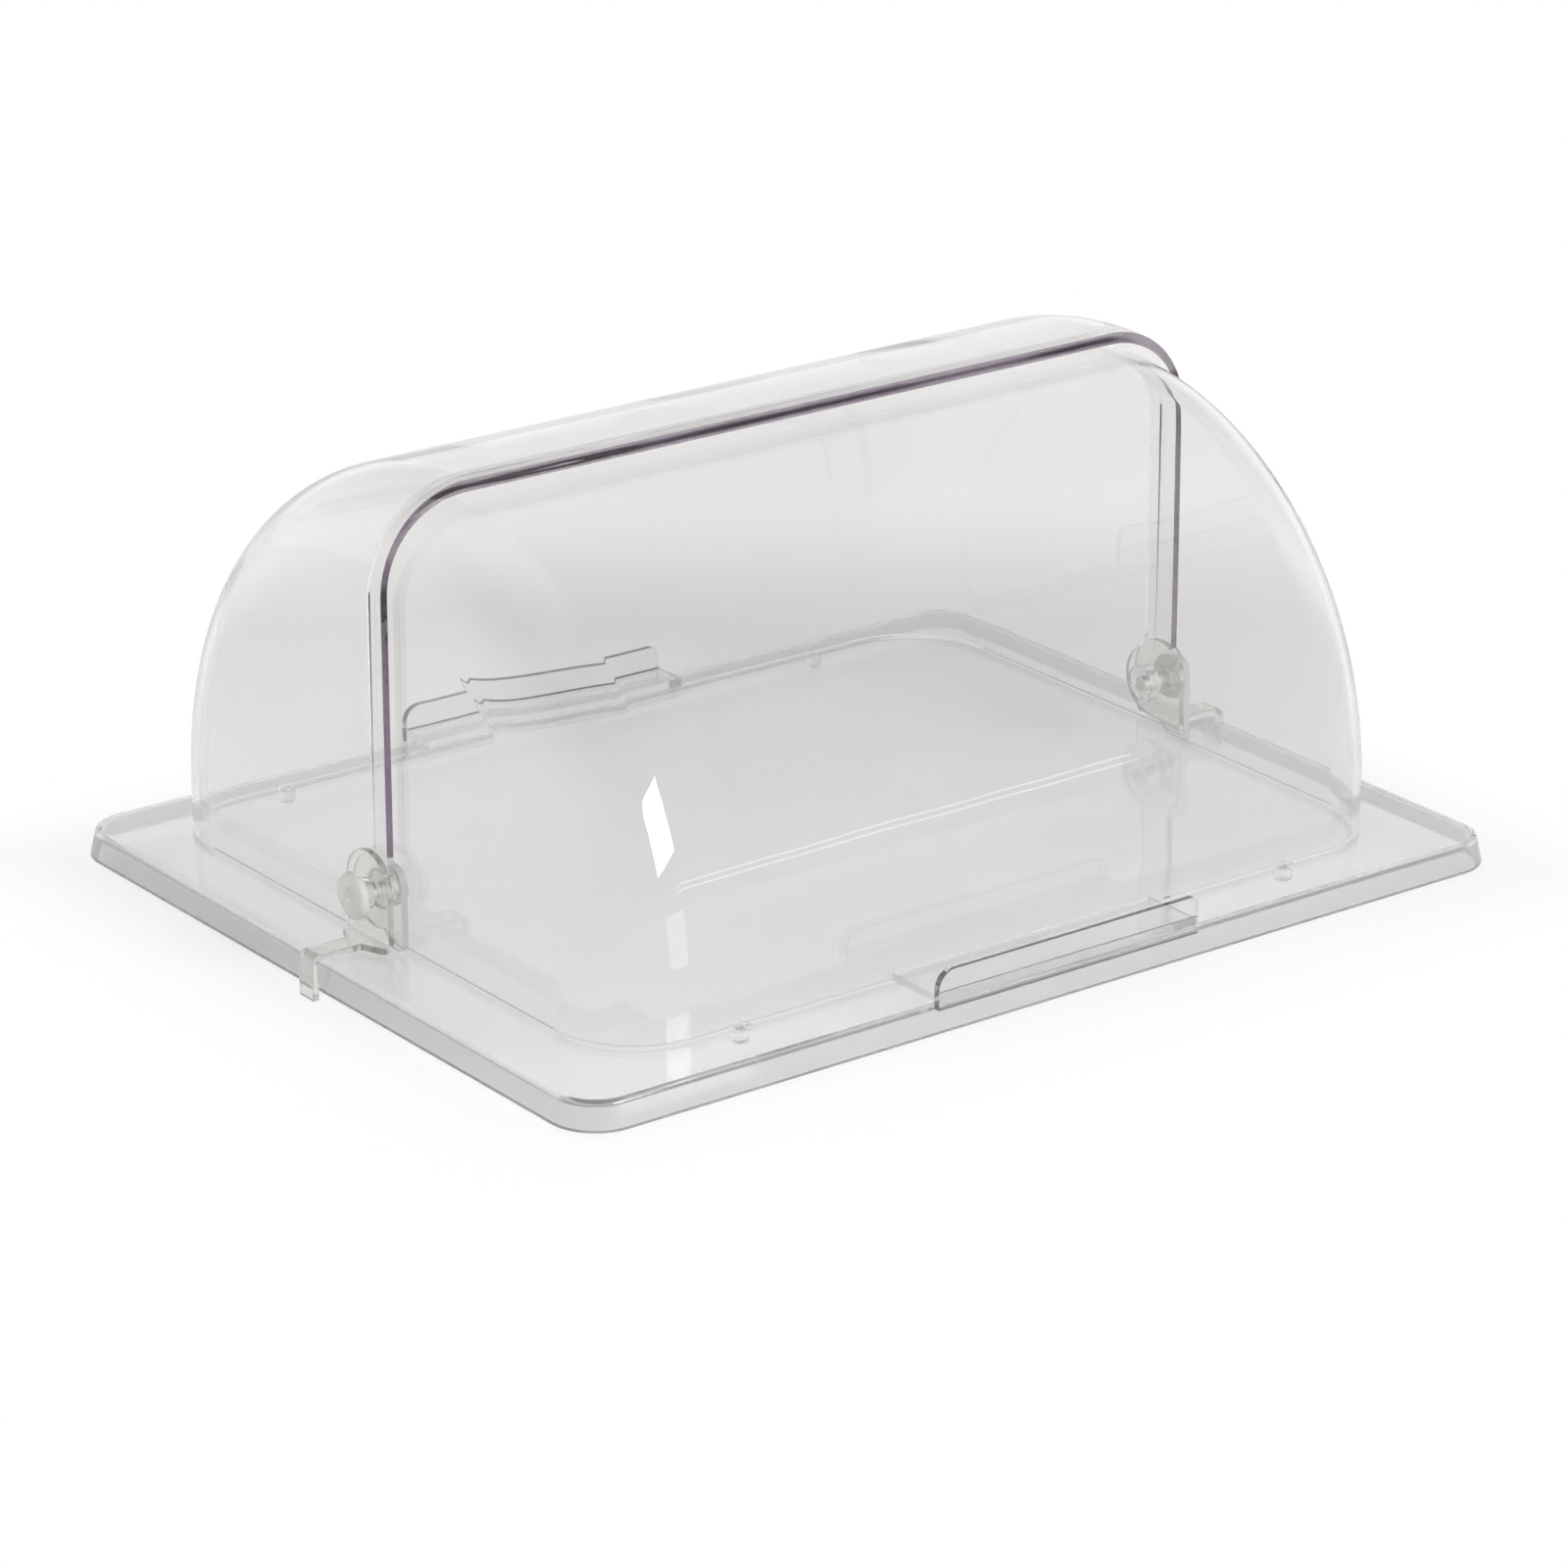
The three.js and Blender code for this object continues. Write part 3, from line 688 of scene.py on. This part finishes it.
def out_in_square(t, place):
    """How far out a point lies in the turned square, in metres."""
    along = []
    for way in ((-sin(CLEAR_TURN), cos(CLEAR_TURN), 0), (cos(CLEAR_TURN), sin(CLEAR_TURN), 0)):
        dot = node(t, "ShaderNodeVectorMath", operation="DOT_PRODUCT", in_0=place, in_1=way)
        along.append(dot.outputs["Value"])
    ahead, aside = along
    nearer = calc(t, "SUBTRACT", -CLEAR_NEARER, ahead)
    return calc(t, "MAXIMUM", calc(t, "MAXIMUM", ahead, nearer), calc(t, "ABSOLUTE", aside))


def floor_material():
    m, t = new_material("floor")
    place = node(t, "ShaderNodeTexCoord").outputs["Object"]
    rays = node(t, "ShaderNodeLightPath").outputs
    # painted light falloff: a little paler at the left, darker to the right
    across = node(t, "ShaderNodeSeparateXYZ", in_0=place).outputs["X"]
    tone = node(t, "ShaderNodeMix", data_type="RGBA", in_Factor=remap(t, across, -FLOOR_REACH, FLOOR_REACH))
    left, right = [i for i in tone.inputs if i.type == "RGBA"]
    left.default_value, right.default_value = FLOOR_LEFT, FLOOR_RIGHT
    colour = [o for o in tone.outputs if o.type == "RGBA"][0]
    # white where it is looked at past the object's shadow, and further out where it is seen in or through
    # the sheet
    mirrored = calc(t, "MULTIPLY", rays["Is Glossy Ray"], MIRRORED_SHARE)
    through = calc(t, "MAXIMUM", mirrored, rays["Is Transmission Ray"])
    shares = []
    for ray, distance, (near, far, least) in ((rays["Is Camera Ray"], outside_tray(t, place), SEEN_FADE),
                                              (through, out_in_square(t, place), CLEAR_FADE)):
        shares.append(calc(t, "MULTIPLY", remap(t, distance, near, far, least, 1.0, "SMOOTHSTEP"), ray))
    pale = node(t, "ShaderNodeBsdfDiffuse", in_Color=colour)
    white = node(t, "ShaderNodeEmission", in_Color=WHITE, in_Strength=1.0)
    mix = node(t, "ShaderNodeMixShader", in_Fac=calc(t, "MAXIMUM", *shares), in_1=pale.outputs[0],
               in_2=white.outputs[0])
    node(t, "ShaderNodeOutputMaterial", in_Surface=mix.outputs[0])
    return m


def floor():
    bm = bmesh.new()
    bmesh.ops.create_circle(bm, cap_ends=True, radius=FLOOR_RADIUS, segments=96)
    for v in bm.verts:
        v.co.z = -FLOOR_DROP
    new_object("floor", bm, floor_material())


# World: white where it is looked at, and else a grey that darkens upwards

def studio():
    world = bpy.data.worlds.new("studio")
    bpy.context.scene.world = world
    world.use_nodes = True
    t = world.node_tree
    t.nodes.clear()
    rays = node(t, "ShaderNodeLightPath").outputs
    place = node(t, "ShaderNodeTexCoord").outputs["Generated"]
    height = remap(t, node(t, "ShaderNodeSeparateXYZ", in_0=place).outputs["Z"], -1.0, 1.0)
    greys = []
    for levels in (ROOM_LEVELS, CLEAR_LEVELS):
        ramp = colour_ramp(t, height, [((sine + 1) / 2, (level, level, level, 1)) for sine, level in levels])
        greys.append(node(t, "ShaderNodeBackground", in_Color=ramp, in_Strength=1.0).outputs[0])
    room, clear = greys
    white = node(t, "ShaderNodeBackground", in_Color=WHITE, in_Strength=1.0).outputs[0]
    unseen = node(t, "ShaderNodeMixShader", in_Fac=rays["Is Transmission Ray"], in_1=room, in_2=clear)
    every = node(t, "ShaderNodeMixShader", in_Fac=rays["Is Camera Ray"], in_1=unseen.outputs[0], in_2=white)
    node(t, "ShaderNodeOutputWorld", in_Surface=every.outputs[0])


# Lamps

def direction(azimuth, elevation):
    """A step of one metre. Azimuth 0 is the front, 90 the right."""
    a, e = radians(azimuth), radians(elevation)
    return Vector((sin(a) * cos(e), -cos(a) * cos(e), sin(e)))


def area(name, at, aim, size, power):
    """A soft lamp that is itself neither seen nor seen through the sheet."""
    lamp = bpy.data.lights.new(name, "AREA")
    lamp.shape = "RECTANGLE"
    lamp.size, lamp.size_y = size
    lamp.energy = power
    obj = bpy.data.objects.new(name, lamp)
    bpy.context.scene.collection.objects.link(obj)
    obj.location = at
    back = (Vector(at) - Vector(aim)).normalized()
    obj.rotation_euler = back.to_track_quat("Z", "Y").to_euler()
    obj.visible_camera = False
    obj.visible_transmission = False
    return obj


def glowing(name, corners, strength):
    """A pane that only reflections and matt surfaces see."""
    bm = bmesh.new()
    bm.faces.new(ring(bm, corners))
    m, t = new_material(name)
    glow = node(t, "ShaderNodeEmission", in_Color=WHITE, in_Strength=strength)
    node(t, "ShaderNodeOutputMaterial", in_Surface=glow.outputs[0])
    obj = new_object(name, bm, m)
    obj.visible_camera = False
    obj.visible_transmission = False
    obj.visible_shadow = False
    return obj


def window():
    """A flat pane across the middle of its directions."""
    ways = [direction(*corner) for corner in WINDOW]
    middle = sum(ways, Vector()).normalized()
    corners = [LID_CORNER + way * (WINDOW_DISTANCE / way.dot(middle)) for way in ways]
    glowing("window", corners, WINDOW_STRENGTH)


def shine():
    """The window's shine on the counter, which only reflections see."""
    foot = Vector((LID_CORNER.x, LID_CORNER.y, SHINE_HEIGHT))
    near = [foot + direction(azimuth, 0) * SHINE_NEAR for azimuth in (SHINE_LEFT, SHINE_RIGHT)]
    far = [foot + direction(azimuth, 0) * SHINE_FAR for azimuth in (SHINE_RIGHT, SHINE_LEFT)]
    pane = glowing("shine", near + far, SHINE_STRENGTH)
    pane.visible_diffuse = False


# Camera

def photo_camera():
    cam = bpy.data.cameras.new("camera")
    camera = bpy.data.objects.new("camera", cam)
    bpy.context.scene.collection.objects.link(camera)
    cam.sensor_width = SENSOR_WIDTH
    cam.lens = FOCAL_PIXELS * SENSOR_WIDTH / PHOTO_PIXELS
    cam.clip_end = FARTHEST
    az = radians(CAMERA_AZIMUTH)
    back = direction(CAMERA_AZIMUTH, CAMERA_ELEVATION)
    right = Vector((cos(az), sin(az), 0.0))
    up = back.cross(right)
    place = MM * (CAMERA_AWAY * back + CAMERA_RIGHT * right + CAMERA_UP * up) + Vector((0, 0, TRAY_TOP * MM))
    camera.matrix_world = Matrix.Translation(place) @ Matrix((right, up, back)).transposed().to_4x4()
    bpy.context.scene.camera = camera


floor()
studio()
window()
shine()
for name, elevation in SILL_ELEVATIONS.items():
    at = LID_CORNER + direction(SILL_AZIMUTH, elevation) * SILL_DISTANCE
    area(name, at, LID_CORNER, SILL_SIZE, SILL_POWER)
area("top_softbox", TOP_PLACE, TOP_AIM, TOP_SIZE, TOP_POWER).visible_glossy = False
photo_camera()

cycles = bpy.context.scene.cycles
cycles.max_bounces = BOUNCES
cycles.transmission_bounces = BOUNCES
cycles.glossy_bounces = BOUNCES
cycles.transparent_max_bounces = OPEN_BOUNCES
bpy.context.scene.view_settings.view_transform = "Standard"
